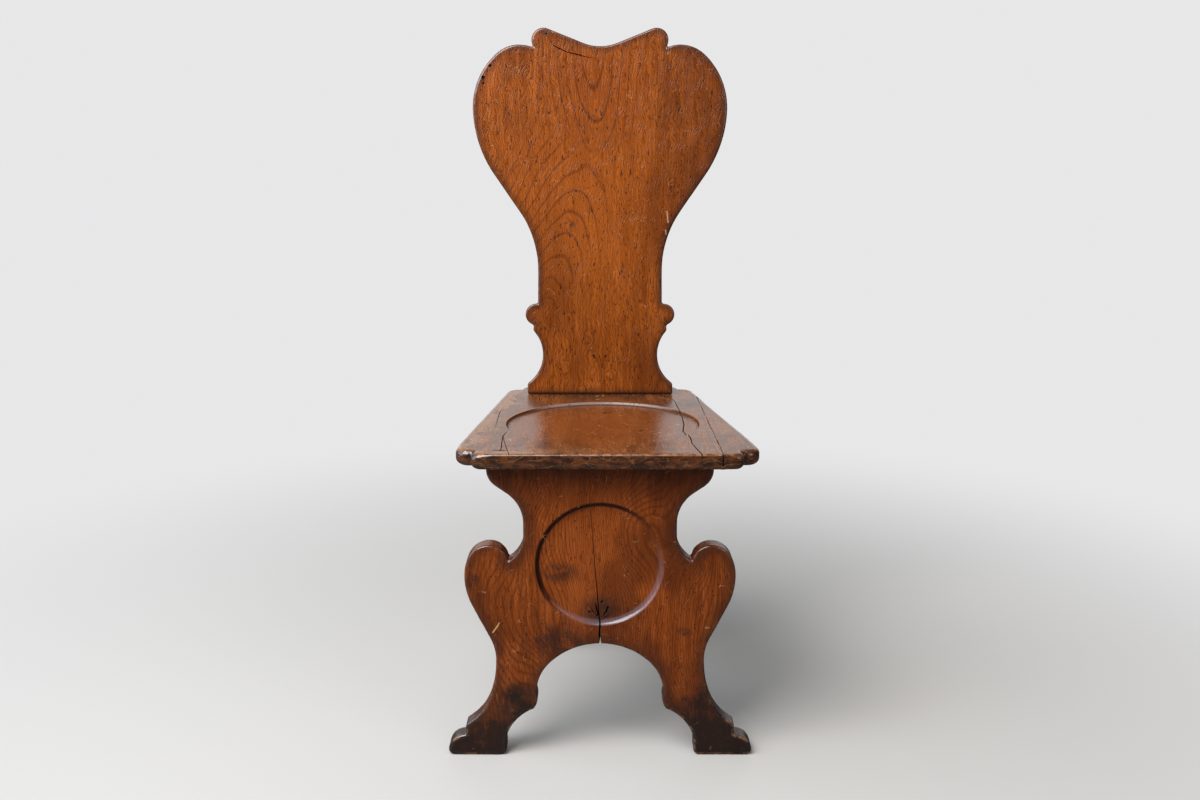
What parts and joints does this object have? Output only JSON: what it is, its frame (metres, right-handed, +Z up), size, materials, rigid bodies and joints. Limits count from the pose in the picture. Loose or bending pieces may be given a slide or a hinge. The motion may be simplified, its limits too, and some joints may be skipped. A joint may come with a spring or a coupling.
{
  "type": "sgabello chair",
  "caption": "Plank chair with a shield-shaped back board, a dished seat with indented corners and sawn trestle boards joined by a keyed stretcher.",
  "frame": {"origin": "on the floor, in the middle of the chair's overall width and depth", "axes": "+Z up, front of the chair towards -Y, +X to the right as seen from the front"},
  "size_m": [0.422, 0.4892, 1.0124],
  "materials": {
    "seat_wood": "waxed and worn",
    "back_wood": "waxed",
    "trestle_wood": "waxed, darkened at the feet",
    "hidden_wood": "plain, aged",
    "forged_iron": "dark, forged"
  },
  "bodies": {
    "root": {"seat_board": "seat_wood", "seat_edge_strip": "seat_wood", "seat_strip_dowels": "hidden_wood", "back_board": "back_wood", "back_key_left": "hidden_wood", "back_key_right": "hidden_wood", "front_trestle": "trestle_wood", "rear_trestle": "trestle_wood", "stretcher": "hidden_wood", "stretcher_key": "hidden_wood", "front_cleat": "hidden_wood", "rear_cleat": "hidden_wood", "front_cleat_nails": "forged_iron", "rear_cleat_nails": "forged_iron"}
  },
  "joints": []
}
